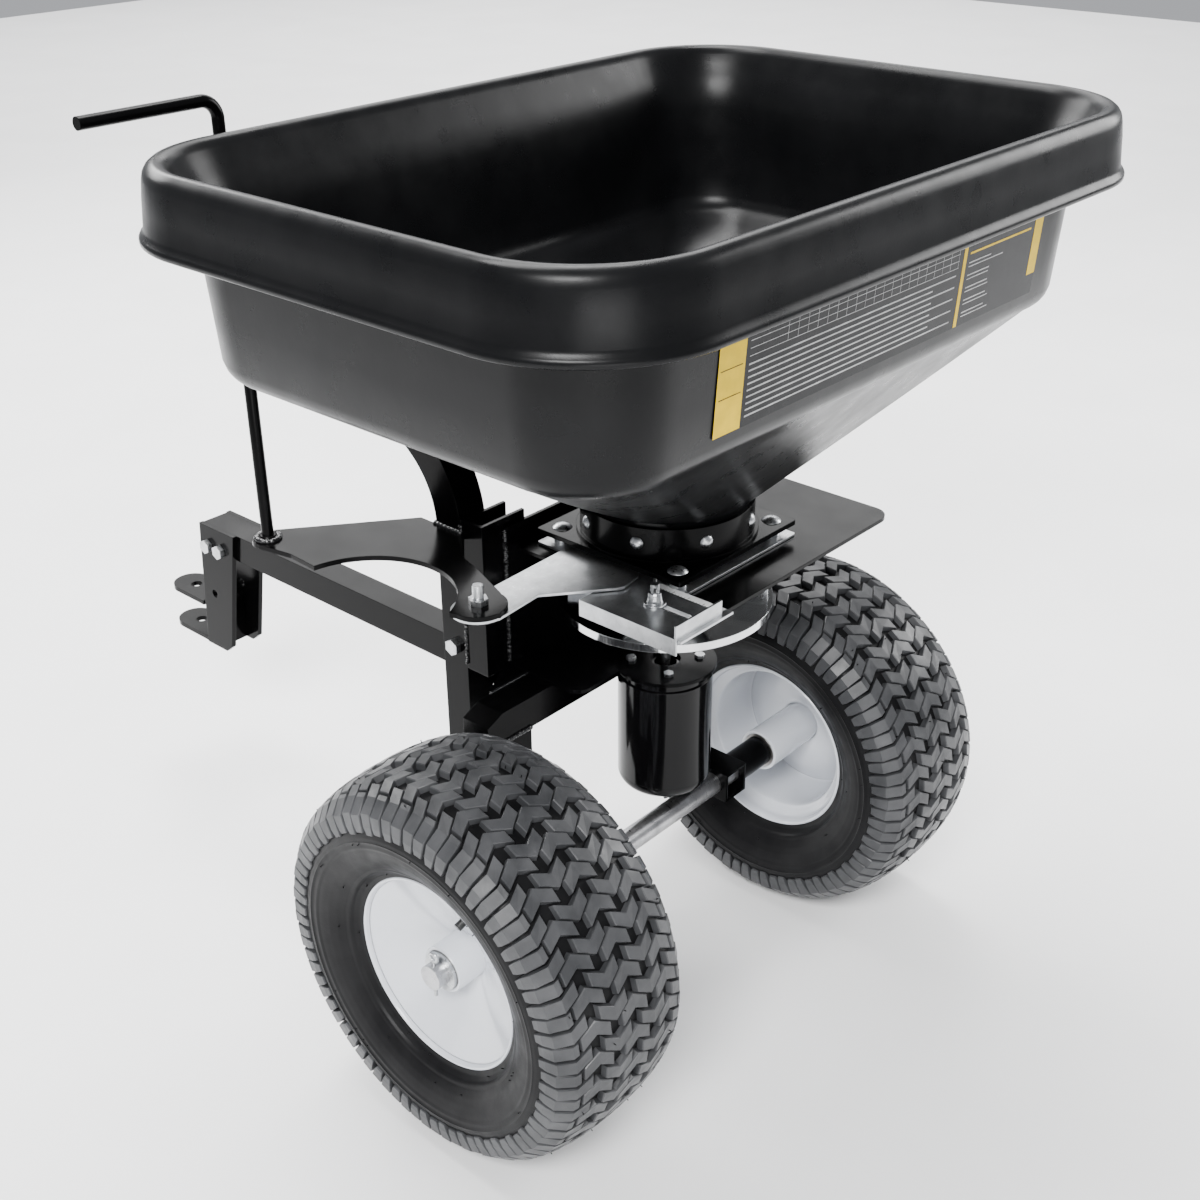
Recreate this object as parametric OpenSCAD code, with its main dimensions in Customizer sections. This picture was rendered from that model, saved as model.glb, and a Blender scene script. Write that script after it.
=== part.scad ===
// Tow behind broadcast spreader with a 12 volt spinner motor. All sizes are in millimetres.
// +Y points forward to the hitch, +X to the right and +Z up. The origin is on the ground, under
// the middle of the bounding box. Inside the modules y = 0 is the wheel axle and x = 0 is midway
// between the wheels.

/* [Wheels] */
// Outside diameter of a tyre
tyre_d = 400; // [380:1:420]
// Width of a tyre
tyre_w = 168; // [150:1:172]
// Distance between the middles of the two tyres
track = 518; // [510:1:540]
// Diameter of the tyre's bead on the rim
rim_d = 204; // [204:1:212]
// Diameter of the wheel hub tube
hub_d = 48; // [44:1:52]
// Diameter of the axle bar
axle_d = 25.4; // [25:0.1:26]

/* [Frame] */
// Outside of the square frame tubes
tube = 35; // [34:1:36]
// Wall of the square frame tubes
tube_wall = 3; // [2:0.5:4]
// Height of the top of the tongue
tongue_z = 371; // [365:1:376]
// How far the tongue runs ahead of the axle
tongue_front = 676; // [650:1:700]
// Height of the top of the support plate on the mast
plate_z = 526; // [525:0.5:527]

/* [Hitch] */
// Radius of the hitch pin holes
pin_r = 7; // [6:0.5:8]
// How far the hitch pin is ahead of the axle
pin_y = 740; // [735:1:745]
// Height of the lower hitch tab
tab_z = 197; // [190:1:200]
// Clear gap between the two hitch tabs
tab_gap = 46; // [40:1:50]

/* [Hopper] */
// Length of the hopper rim across the machine
hopper_x = 825; // [815:1:835]
// Width of the hopper rim along the machine
hopper_y = 590; // [580:1:600]
// Height of the top of the hopper rim
hopper_top = 919; // [914:1:924]
// Thickness of the hopper wall
hopper_wall = 5; // [4:0.5:6]

/* [Spinner] */
// Diameter of the spinner disc
disc_d = 218; // [200:1:224]
// Height of the top face of the spinner disc
disc_z = 452; // [448:1:456]
// Diameter of the motor can
motor_d = 100; // [94:1:104]

/* [Hidden] */
$fn = 64;
// Middle of the hopper's rim, which is the widest piece, so it is also the part's middle across
hopper_mid_x = 41;
hopper_mid_y = 33;
rear_y = hopper_mid_y - hopper_y / 2;
tab_tip = 34;
front_y = pin_y + tab_tip;
mid_y = (front_y + rear_y) / 2;
axle_z = tyre_d / 2;
half_track = track / 2;
// Outlet, spinner and motor share this vertical line
out_x = 45;
out_y = 24;
// Tongue and mast
tongue_x = -65;
mast_x = tongue_x - tube;
mast_y = 170;
arm_x = 100;
cross_y = 80;
cross_end = 161;
leg_z = axle_z + tube / 2;
cross_z = tongue_z - tube;
// Spinner frame levels
motor_plate_z = tongue_z;
sheet = 4;
deflector_z = 508;
slide_z = 512.5;
slide_t = 2.5;
scale_z = slide_z + slide_t;
scale_t = 2;
gate_z = 518;
gate_t = 2.5;
base_z = 525;
base_t = 5;
base_s = 184;
throat_r = 44;
bolt_off = 74;
plate_t = 5;
// Stud that the gate swings on
stud_x = -192;
stud_y = 51;
// Guide rod
rod_x = -232;
rod_y = 307;
rod_r = 6;
rod_lean = 5.15;
rod_side = 3.41;
rod_len = 401;
rod_bend = 16;
grip_len = 124;
// Flow stop bolt in its slot
stop_x = -74;
stop_y = -60;
stop_travel = 36;
// Mast bend
bend_r = 112;
bend_a = 50;
bend_z = 522;
mast_reach = 62;
// Funnel of the hopper
neck_r = 83;
funnel_z = 729;
neck_top = 566;

module black() { color([0.06, 0.06, 0.065]) children(); }
module zinc() { color([0.75, 0.76, 0.78]) children(); }
module white() { color([0.93, 0.93, 0.92]) children(); }
module plastic() { color([0.13, 0.13, 0.135]) children(); }
module rubber() { color([0.09, 0.09, 0.09]) children(); }

// Puts a piece that is drawn about the axle into the part's own frame
module placed() { translate([-hopper_mid_x, -mid_y, 0]) children(); }

// Square tube along Y or Z from its lowest corner
module tube_y(len) {
    difference() {
        cube([tube, len, tube]);
        translate([tube_wall, -1, tube_wall]) cube([tube - 2 * tube_wall, len + 2, tube - 2 * tube_wall]);
    }
}
module tube_z(len) { translate([0, tube, 0]) rotate([90, 0, 0]) tube_y(len); }

// Hexagon bolt along +X: head at x = 0 side, shank len, nut at the far end
module hex_bolt_x(r, len, nut) {
    rotate([0, 90, 0]) {
        translate([0, 0, -r * 1.3]) cylinder(r = r * 1.85, h = r * 1.3, $fn = 6);
        cylinder(r = r, h = len + nut);
        translate([0, 0, len]) cylinder(r = r * 1.85, h = r * 1.6, $fn = 6);
    }
}

// Flat plate with four round corners
module round_plate(x0, y0, x1, y1, r, t) {
    translate([x0 + r, y0, 0]) cube([x1 - x0 - 2 * r, y1 - y0, t]);
    translate([x0, y0 + r, 0]) cube([x1 - x0, y1 - y0 - 2 * r, t]);
    for (x = [x0 + r, x1 - r], y = [y0 + r, y1 - r]) translate([x, y, 0]) cylinder(r = r, h = t);
}

// ---------------------------------------------------------------- frame
module tongue() {
    black() placed() difference() {
        translate([tongue_x, cross_y + tube, cross_z]) tube_y(tongue_front - cross_y - tube);
        for (y = [640, 665]) translate([tongue_x - 1, y, 343]) rotate([0, 90, 0]) cylinder(r = 5.3, h = tube + 2);
    }
}
// Closed and bevelled at its left end, by the tyre
module cross_tube() {
    w = tube_wall;
    x1 = arm_x + tube;
    black() placed() difference() {
        translate([0, cross_y + tube, 0]) rotate([90, 0, 0]) linear_extrude(tube)
            polygon([[-cross_end, cross_z], [x1, cross_z], [x1, tongue_z], [21 - cross_end, tongue_z],
                [-cross_end, tongue_z - 9]]);
        translate([0, cross_y + tube - w, 0]) rotate([90, 0, 0]) linear_extrude(tube - 2 * w)
            polygon([[w - cross_end, cross_z + w], [x1 + 1, cross_z + w], [x1 + 1, tongue_z - w],
                [22 - cross_end, tongue_z - w], [w - cross_end, tongue_z - 11]]);
    }
}
module gusset_plate(x, side) {
    translate([x, cross_y + tube, tongue_z - sheet]) linear_extrude(sheet)
        polygon([[0, 0], [side * 60, 0], [0, 36]]);
}
module corner_gussets() {
    black() placed() { gusset_plate(tongue_x, -1); gusset_plate(tongue_x + tube, 1); }
}
module axle_leg(x) { black() placed() translate([x, cross_y, leg_z]) tube_z(cross_z - leg_z); }
module axle_leg_left() { axle_leg(-arm_x - tube); }
module axle_leg_right() { axle_leg(arm_x); }
module axle_arm(x, len) {
    black() placed() difference() {
        translate([x, -20, axle_z - tube / 2]) tube_y(len);
        translate([x - 1, 0, axle_z]) rotate([0, 90, 0]) cylinder(d = axle_d + 0.1, h = tube + 2);
    }
}
module axle_arm_left() { axle_arm(-arm_x - tube, mast_y + tube + 20); }
module axle_arm_right() { axle_arm(arm_x, cross_y + tube + 20); }

axle_end = half_track + 66;
hub_out = 50;
hub_in = 73;
module axle() {
    zinc() placed() difference() {
        translate([-axle_end, 0, axle_z]) rotate([0, 90, 0]) cylinder(d = axle_d, h = 2 * axle_end);
        for (s = [-1, 1]) translate([s * (axle_end - 6), 0, axle_z - 20]) cylinder(r = 2.2, h = 40);
    }
}
// Spacer tubes between the arms and the hubs
module axle_sleeves() {
    black() placed() for (s = [-1, 1]) translate([s * (arm_x + tube), 0, axle_z]) rotate([0, s * 90, 0])
        difference() {
            cylinder(r = 17.5, h = half_track - hub_in - arm_x - tube - 0.6);
            translate([0, 0, -1]) cylinder(d = axle_d + 0.1, h = half_track);
        }
}
module axle_washers() {
    zinc() placed() for (s = [-1, 1]) translate([s * (half_track + hub_out + 0.6), 0, axle_z]) rotate([0, s * 90, 0])
        difference() {
            cylinder(r = 20, h = 3);
            translate([0, 0, -1]) cylinder(d = axle_d + 0.1, h = 5);
        }
}
module cotter_pins() {
    zinc() placed() for (s = [-1, 1]) translate([s * (axle_end - 6), 0, axle_z]) {
        translate([0, 0, -24]) cylinder(r = 2, h = 42);
        translate([0, 0, 21]) rotate([0, 90, 0]) rotate_extrude() translate([4.5, 0]) circle(r = 1.8, $fn = 24);
    }
}

// ---------------------------------------------------------------- hitch
hitch_t = 6;
module hitch_side(x) {
    black() placed() difference() {
        translate([x, 0, 0]) rotate([90, 0, 90]) linear_extrude(hitch_t)
            polygon([[610, 371], [678, 371], [694, 196], [654, 196], [642, 206]]);
        for (y = [640, 665]) translate([x - 1, y, 343]) rotate([0, 90, 0]) cylinder(r = 5.3, h = hitch_t + 2);
        translate([x - 1, 664, 276]) rotate([0, 90, 0]) cylinder(r = 5.3, h = hitch_t + 2);
    }
}
module hitch_plate_left() { hitch_side(tongue_x - hitch_t); }
module hitch_plate_right() { hitch_side(tongue_x + tube); }
// Forward tab with the pin hole, its tip round about the hole
module hitch_tab(z) {
    mid = tongue_x + tube / 2;
    black() placed() difference() {
        union() {
            translate([mid - tube / 2, 672, z]) cube([tube, pin_y - 672, hitch_t]);
            translate([mid - 23, 694, z]) cube([46, pin_y - 694, hitch_t]);
            translate([mid, pin_y + tab_tip - 23, z]) cylinder(r = 23, h = hitch_t);
            translate([mid - 23, pin_y - 1, z]) cube([46, tab_tip - 22, hitch_t]);
        }
        translate([mid, pin_y, z - 1]) cylinder(r = pin_r, h = hitch_t + 2);
    }
}
module hitch_tab_upper() { hitch_tab(tab_z + hitch_t + tab_gap); }
module hitch_tab_lower() { hitch_tab(tab_z); }
module hitch_web() {
    black() placed() translate([tongue_x, 666, tab_z]) cube([tube, 6, tab_gap + 2 * hitch_t]);
}
module hitch_bolts() {
    zinc() placed() for (y = [640, 665]) translate([tongue_x - hitch_t, y, 343]) hex_bolt_x(5, tube + 2 * hitch_t, 12);
}

// ---------------------------------------------------------------- mast and support plate
mast_mid = mast_y + tube / 2;
mast_bolt_z = 391;
// Middle of the mast where its bend ends
bend_end_y = mast_mid + bend_r * (1 - cos(bend_a));
bend_end_z = bend_z + bend_r * sin(bend_a);
module mast_section() { difference() { square(tube, center = true); square(tube - 2 * tube_wall, center = true); } }
module mast() {
    black() placed() difference() {
        union() {
            translate([mast_x + tube / 2, mast_mid, axle_z - tube / 2]) linear_extrude(bend_z - axle_z + tube / 2)
                mast_section();
            translate([mast_x + tube / 2, mast_mid + bend_r, bend_z]) rotate([90, 0, -90])
                rotate_extrude(angle = bend_a, $fn = 96) translate([bend_r, 0]) mast_section();
            translate([mast_x + tube / 2, bend_end_y, bend_end_z]) rotate([-bend_a, 0, 0])
                linear_extrude(mast_reach) mast_section();
        }
        translate([mast_x - 1, mast_mid, mast_bolt_z]) rotate([0, 90, 0]) cylinder(r = 5.3, h = tube + 2);
    }
}
module mast_bolt() {
    zinc() placed() translate([mast_x, mast_mid, mast_bolt_z]) hex_bolt_x(5, tube + sheet, 12);
}

// Height of the underside of the hopper's flat front slope over a place along Y
slope_low = out_y + neck_r;
slope_high = hopper_mid_y + hopper_y / 2 - 67;
slope_a = atan2(funnel_z - neck_top, slope_high - slope_low);
function slope_z(y) = neck_top + (y - slope_low) * tan(slope_a);
saddle_y = 220;
saddle_t = 5;
// Moves a piece onto the slope, its own +Z square to the hopper's skin
module on_slope() {
    translate([mast_x + tube / 2, saddle_y, slope_z(saddle_y) - 0.2]) rotate([slope_a, 0, 0]) children();
}
// Plate under the hopper on two cheeks that hold the top of the mast
module hopper_saddle() {
    black() placed() {
        on_slope() difference() {
            translate([-42, -44, -saddle_t]) cube([84, 86, saddle_t]);
            for (x = [-32, 32], y = [-30, 30]) translate([x, y, -saddle_t - 1]) cylinder(r = 3.3, h = saddle_t + 2);
        }
        for (x = [mast_x - sheet, mast_x + tube]) translate([x, 0, 0]) rotate([90, 0, 90]) linear_extrude(sheet)
            polygon([[saddle_y - 26, slope_z(saddle_y - 26) - saddle_t - 1],
                [saddle_y + 30, slope_z(saddle_y + 30) - saddle_t - 1], [291, 664], [281, 622], [253, 610],
                [219, 640]]);
    }
}
module saddle_bolts() {
    zinc() placed() on_slope() for (x = [-32, 32], y = [-30, 30]) translate([x, y, -saddle_t]) {
        translate([0, 0, -5]) cylinder(r = 7, h = 5, $fn = 6);
        cylinder(r = 3, h = saddle_t);
    }
}

module support_plate() {
    z = plate_z - plate_t;
    black() placed() difference() {
        union() {
            translate([0, 0, z]) linear_extrude(plate_t) polygon([[-248, 303], [-238, 321], [-222, 322],
                [mast_x, 228], [mast_x, 165], [-136, 128], [-143, 104], [-164, 50], [-192, 22], [-219, 51],
                [-250, 150], [-242, 226], [-240, 262]]);
            translate([rod_x, rod_y, z]) cylinder(r = 16, h = plate_t);
            translate([stud_x, stud_y, z]) cylinder(r = 27, h = plate_t);
        }
        translate([-253, 139, z - 1]) cylinder(r = 86, h = plate_t + 2, $fn = 128);
        translate([stud_x, stud_y, z - 1]) cylinder(r = 5.05, h = plate_t + 2);
    }
}
// Rod welded to the support plate. It leans forward to clear the rim and ends in a grip bar that
// points to the left.
module guide_rod() {
    black() placed() translate([rod_x, rod_y, plate_z]) {
        cylinder(r1 = rod_r + 4, r2 = rod_r + 1.5, h = 4);
        rotate([-rod_lean, 0, 0]) {
            rotate([0, rod_side, 0]) {
                translate([0, 0, 2]) cylinder(r = rod_r, h = rod_len - 2);
                translate([0, 0, rod_len]) sphere(r = rod_r + 0.05);
            }
            translate([rod_len * sin(rod_side) - rod_bend, 0, rod_len * cos(rod_side)]) {
                rotate([90, 0, 0]) rotate_extrude(angle = 90) translate([rod_bend, 0])
                    circle(r = rod_r, $fn = 32);
                translate([0, 0, rod_bend]) rotate([0, -90, 0]) cylinder(r = rod_r, h = grip_len);
            }
        }
    }
}
// Bolt that the gate swings on, with its nut on top of the support plate
module gate_stud() {
    zinc() placed() translate([stud_x, stud_y, 0]) {
        translate([0, 0, gate_z - 8]) cylinder(r = 9.5, h = 5, $fn = 6);
        translate([0, 0, gate_z - 3]) cylinder(r = 13, h = 2.6);
        translate([0, 0, gate_z - 3]) cylinder(r = 5, h = 30);
        translate([0, 0, plate_z]) cylinder(r = 9.5, h = 6, $fn = 6);
    }
}

// ---------------------------------------------------------------- spinner frame
guard_y = 136;
guard_x1 = 160;
// Channel between the mast and the guard, with an ear that the mast bolt passes
module mount_channel() {
    h = 541 - tongue_z;
    black() placed() difference() {
        union() {
            translate([mast_x, guard_y + sheet, tongue_z]) cube([60, mast_y - guard_y - sheet, h]);
            translate([mast_x + tube, mast_y - 1, tongue_z]) cube([sheet, tube, 44]);
        }
        translate([mast_x + sheet, guard_y + 2 * sheet, tongue_z - 1]) cube([60, mast_y - guard_y - 3 * sheet, h + 2]);
        translate([mast_x + tube - 1, mast_mid, mast_bolt_z]) rotate([0, 90, 0]) cylinder(r = 5.3, h = sheet + 2);
    }
}
module front_guard() {
    z0 = motor_plate_z + sheet;
    black() placed() translate([-70, guard_y, z0]) cube([guard_x1 + 70, sheet, 532 - z0]);
}
// Shield over the spinner, wider on the right
module deflector_plate() {
    black() placed() difference() {
        translate([0, 0, deflector_z]) round_plate(-64, -112, 247, guard_y, 20, sheet);
        translate([out_x, out_y, deflector_z - 1]) cylinder(r = throat_r, h = sheet + 2);
        for (x = [-1, 1], y = [-1, 1]) translate([out_x + x * bolt_off, out_y + y * bolt_off, deflector_z - 1])
            cylinder(r = 4.3, h = sheet + 2);
    }
}
module motor_plate() {
    black() placed() difference() {
        union() {
            translate([0, 0, motor_plate_z]) round_plate(-68, 43, guard_x1, guard_y + sheet, 18, sheet);
            translate([-68, guard_y - 20, motor_plate_z]) cube([guard_x1 + 68, 20 + sheet, sheet]);
            translate([out_x, out_y, motor_plate_z]) cylinder(r = 54, h = sheet);
        }
        translate([out_x, out_y, motor_plate_z - 1]) cylinder(r = 16, h = sheet + 2);
        for (a = [45:90:315]) translate([out_x, out_y, motor_plate_z - 1]) rotate(a) translate([36, 0, 0])
            cylinder(r = 3.3, h = sheet + 2);
    }
}
motor_top = motor_plate_z;
motor_low = 227;
module motor_flange() {
    black() placed() translate([out_x, out_y, motor_top - 10]) difference() {
        cylinder(d = motor_d - 4, h = 10);
        translate([0, 0, -1]) cylinder(r = 12, h = 12);
        for (a = [45:90:315]) rotate(a) translate([36, 0, -1]) cylinder(r = 3.1, h = 12);
    }
}
module motor_can() {
    black() placed() translate([out_x, out_y, motor_low + 16]) difference() {
        cylinder(d = motor_d, h = motor_top - 10 - motor_low - 16);
        translate([0, 0, 6]) cylinder(d = motor_d - 6, h = motor_top - motor_low);
    }
}
module motor_end_bell() {
    r = motor_d / 2;
    edge = 15;
    black() placed() translate([out_x, out_y, motor_low]) {
        rotate_extrude($fn = 96) difference() {
            union() {
                square([r - edge, 16]);
                translate([0, edge]) square([r, 1]);
                translate([r - edge, edge]) circle(r = edge);
            }
            translate([-r, -2 * r]) square([r, 4 * r]);
            translate([0, 16]) square([2 * r, 2 * r]);
        }
    }
}
module motor_screws() {
    zinc() placed() {
        for (a = [45:90:315]) translate([out_x, out_y, motor_top - 10]) rotate(a) translate([36, 0, 0]) {
            cylinder(r = 3, h = 10 + sheet);
            translate([0, 0, 10 + sheet]) cylinder(r = 5.5, h = 3.5, $fn = 6);
        }
        for (a = [-30, 150]) translate([out_x, out_y, motor_low - 5]) rotate(a) translate([32, 0, 0])
            cylinder(r = 4, h = 5);
    }
}

// ---------------------------------------------------------------- outlet stack
module corner_holes(z, h, r) {
    for (x = [-1, 1], y = [-1, 1]) translate([out_x + x * bolt_off, out_y + y * bolt_off, z]) cylinder(r = r, h = h);
}
module base_plate() {
    black() placed() difference() {
        translate([0, 0, base_z]) round_plate(out_x - base_s / 2, out_y - base_s / 2, out_x + base_s / 2,
            out_y + base_s / 2, 3, base_t);
        translate([out_x, out_y, base_z - 1]) cylinder(r = throat_r, h = base_t + 2);
        corner_holes(base_z - 1, base_t + 2, 4.05);
    }
}
strip_x0 = -112;
strip_x1 = -36;
strip_y = -122;
module slide_plate() {
    h = base_s / 2;
    zinc() placed() difference() {
        union() {
            translate([0, 0, slide_z]) round_plate(out_x - h, out_y - h, out_x + h, out_y + h, 3, slide_t);
            translate([strip_x0, strip_y, slide_z]) cube([strip_x1 - strip_x0, 92, slide_t]);
        }
        translate([out_x, out_y, slide_z - 1]) cylinder(r = throat_r, h = slide_t + 2);
        corner_holes(slide_z - 1, slide_t + 2, 4.3);
        translate([stop_x - 4.3, stop_y - stop_travel, slide_z - 1]) cube([8.6, stop_travel, slide_t + 2]);
        for (y = [stop_y, stop_y - stop_travel]) translate([stop_x, y, slide_z - 1]) cylinder(r = 4.3, h = slide_t + 2);
    }
}
module plate_spacers() {
    zinc() placed() difference() {
        corner_holes(slide_z + slide_t, base_z - slide_z - slide_t, 9);
        corner_holes(slide_z, 20, 4.05);
    }
}
module plate_bolts() {
    z0 = deflector_z - 9;
    zinc() placed() {
        corner_holes(z0, base_z + base_t - z0, 4);
        corner_holes(z0 + 2, 6.9, 7.5, $fn = 6);
        for (x = [-1, 1], y = [-1, 1])
            translate([out_x + x * bolt_off, out_y + y * bolt_off, base_z + base_t]) intersection() {
                translate([0, 0, -9]) sphere(r = 13.5);
                cylinder(r = 12, h = 6);
            }
    }
}
module collar_ring() {
    black() placed() translate([out_x, out_y, base_z + base_t]) difference() {
        union() {
            cylinder(r = neck_r + 4, h = 34);
            cylinder(r = neck_r + 8, h = 3);
        }
        translate([0, 0, -1]) cylinder(r = neck_r + 0.1, h = 40);
    }
}
collar_angles = [20, 65, 110, 155, 200, 245, 290, 335];
module collar_screws() {
    zinc() placed() for (a = collar_angles) translate([out_x, out_y, base_z + base_t + 18]) rotate(a)
        translate([neck_r + 4, 0, 0]) rotate([0, 90, 0]) intersection() {
            translate([0, 0, -5]) sphere(r = 8.5);
            cylinder(r = 8, h = 4);
        }
}
// Slotted bracket of the flow setting, with a skirt on its left and a raised lip at the rear
module scale_plate() {
    x0 = -114;
    x1 = -48;
    zinc() placed() difference() {
        union() {
            translate([x0, -118, scale_z]) cube([x1 - x0, 116, scale_t]);
            translate([x0 - 0.2, -118, scale_z - 15]) cube([1.8, 116, 15 + scale_t]);
            translate([x0, -118, scale_z]) cube([x1 - x0, scale_t, 15]);
        }
        hull() for (y = [stop_y + 2, stop_y - stop_travel - 2]) translate([stop_x, y, scale_z - 1])
            cylinder(r = 4.3, h = scale_t + 2, $fn = 32);
        translate([x0 - 1, -130, scale_z - 40]) cube([1, 140, 25]);
    }
}
// Gate that swings about the stud, between the base plate and the slide plate. Its round blade
// shuts the outlet, and its stepped rear edge meets the flow stop when it opens.
module gate() {
    zinc() placed() difference() {
        union() {
            translate([0, 0, gate_z]) linear_extrude(gate_t) polygon([[stud_x - 4, stud_y + 26], [-154, 72],
                [-56, 76], [-20, 76], [out_x, out_y + 50], [out_x, out_y], [0, 2], [-25, 0], [-47, -17],
                [-72, -21], [-78, -18], [-137, 29], [-193, 24]]);
            translate([stud_x, stud_y, gate_z]) cylinder(r = 26, h = gate_t);
            translate([out_x, out_y, gate_z]) cylinder(r = 50, h = gate_t);
        }
        translate([stud_x, stud_y, gate_z - 1]) cylinder(r = 5.05, h = gate_t + 2);
    }
}

// ---------------------------------------------------------------- flow stop
module stop_bolt() {
    zinc() placed() translate([stop_x, stop_y, 0]) {
        translate([0, 0, slide_z - 6.3]) cylinder(r = 7.5, h = 6, $fn = 6);
        translate([0, 0, slide_z - 1]) cylinder(r = 4, h = 26);
    }
}
module stop_washers() {
    zinc() placed() translate([stop_x, stop_y, scale_z + scale_t + 0.3]) difference() {
        union() {
            cylinder(r = 10.5, h = 1.6);
            translate([0, 0, 1.6]) cylinder(r = 7.5, h = 1.8);
        }
        translate([0, 0, -1]) cylinder(r = 4, h = 6);
    }
}
module wing_nut() {
    zinc() placed() translate([stop_x, stop_y, scale_z + scale_t + 3.8]) difference() {
        union() {
            cylinder(r1 = 7, r2 = 6, h = 8, $fn = 48);
            for (s = [-1, 1]) rotate([0, 0, 40]) translate([s * 10, 0, 9]) rotate([90, 0, 0])
                intersection() {
                    translate([0, 0, -1.5]) cylinder(r = 7.5, h = 3);
                    translate([-8, -8, -2]) cube([16, 16, 4]);
                }
        }
        translate([0, 0, -1]) cylinder(r = 4.05, h = 20);
    }
}

// ---------------------------------------------------------------- spinner
fin_h = 22;
module spinner_disc() {
    zinc() placed() translate([out_x, out_y, disc_z - 2.5]) difference() {
        union() {
            cylinder(d = disc_d, h = 2.5, $fn = 128);
            difference() {
                translate([0, 0, -6]) cylinder(d = disc_d, h = 6.5, $fn = 128);
                translate([0, 0, -7]) cylinder(d = disc_d - 4, h = 9, $fn = 128);
            }
        }
        translate([0, 0, -10]) cylinder(r = 5.05, h = 20);
    }
}
module spinner_fins() {
    zinc() placed() translate([out_x, out_y, disc_z]) for (a = [28:90:298]) rotate(a) {
        translate([22, -1, 0]) cube([disc_d / 2 - 27, 2, fin_h]);
        translate([22, -1, 0]) cube([disc_d / 2 - 27, 12, 2]);
    }
}
module spinner_hub() {
    zinc() placed() translate([out_x, out_y, disc_z - 22.5]) difference() {
        cylinder(r = 13, h = 20);
        translate([0, 0, -1]) cylinder(r = 5.05, h = 30);
    }
}
module spinner_shaft() {
    zinc() placed() translate([out_x, out_y, motor_top - 9]) {
        cylinder(r = 5, h = disc_z + 8 - motor_top + 9);
        translate([0, 0, disc_z - motor_top + 9]) cylinder(r = 9, h = 6, $fn = 6);
    }
}

// ---------------------------------------------------------------- hopper
// One level ring of the hopper: the rim's outline drawn in by a distance. Every ring has the same
// number of points, so that rings join to each other and to the round neck.
corner_steps = 12;
function ring_angle(i) = 90 * floor(i / corner_steps) + 90 * (i % corner_steps + 0.5) / corner_steps;
function ring(z, inset, r) = [for (i = [0:4 * corner_steps - 1])
    let (a = ring_angle(i), c = floor(i / corner_steps), sx = (c == 0 || c == 3) ? 1 : -1, sy = c < 2 ? 1 : -1)
    [hopper_mid_x + sx * (hopper_x / 2 - inset - r) + r * cos(a),
        hopper_mid_y + sy * (hopper_y / 2 - inset - r) + r * sin(a), z]];
function rim_ring(z, inset) = ring(z, inset, max(24, 125 - inset * 0.85));
function neck_ring(z, r) = [for (i = [0:4 * corner_steps - 1])
    [out_x + r * cos(ring_angle(i)), out_y + r * sin(ring_angle(i)), z]];
// Solid through a stack of rings, lowest first
module loft(rings) {
    n = 4 * corner_steps;
    last = len(rings) - 1;
    polyhedron(points = [for (q = rings) each q], faces = concat([[for (i = [0:n - 1]) i]],
        [for (k = [0:last - 1], i = [0:n - 1]) each
            [[k * n + i, (k + 1) * n + (i + 1) % n, k * n + (i + 1) % n],
             [k * n + i, (k + 1) * n + i, (k + 1) * n + (i + 1) % n]]],
        [[for (i = [n - 1:-1:0]) last * n + i]]), convexity = 8);
}
lip_z = 853;
module hopper() {
    w = hopper_wall;
    top = hopper_top;
    plastic() placed() difference() {
        union() {
            loft([rim_ring(lip_z, 44), rim_ring(lip_z, 1), rim_ring(lip_z + 2, 0), rim_ring(lip_z + 7, 0),
                rim_ring(lip_z + 9, 4), rim_ring(top - 12, 8), rim_ring(top - 4, 11), rim_ring(top, 18)]);
            loft([neck_ring(base_z + base_t, neck_r), neck_ring(neck_top, neck_r), rim_ring(funnel_z, 67),
                rim_ring(funnel_z + 6, 58), rim_ring(funnel_z + 19, 52), rim_ring(lip_z + 3, 45)]);
        }
        loft([neck_ring(base_z, neck_r - w), neck_ring(neck_top + 4, neck_r - w), rim_ring(funnel_z + 5, 71 + w),
            rim_ring(funnel_z + 11, 60 + w), rim_ring(funnel_z + 23, 52 + w), rim_ring(lip_z + 3, 45 + w),
            rim_ring(lip_z + 23, 39 + w), rim_ring(top - 23, 33 + w), rim_ring(top - 11, 30),
            rim_ring(top - 4, 27), rim_ring(top, 22), rim_ring(top + 1, 22)]);
        difference() {
            loft([rim_ring(lip_z - 1, 7), rim_ring(lip_z + 6, 6 + w), rim_ring(top - 23, 8 + w),
                rim_ring(top - 16, 12 + w)]);
            loft([rim_ring(lip_z - 2, 45), rim_ring(lip_z + 3, 45), rim_ring(lip_z + 23, 39),
                rim_ring(top - 23, 33), rim_ring(top - 15, 26)]);
        }
    }
}
// Thin printed panel on the rear wall, with no writing
module chart_panel() {
    color([0.85, 0.72, 0.1]) placed() intersection() {
        difference() {
            loft([rim_ring(755, 51), rim_ring(833, 45.9)]);
            loft([rim_ring(funnel_z + 19, 52), rim_ring(lip_z + 3, 45)]);
        }
        translate([-190, rear_y, 740]) cube([486, 100, 100]);
    }
}

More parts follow.
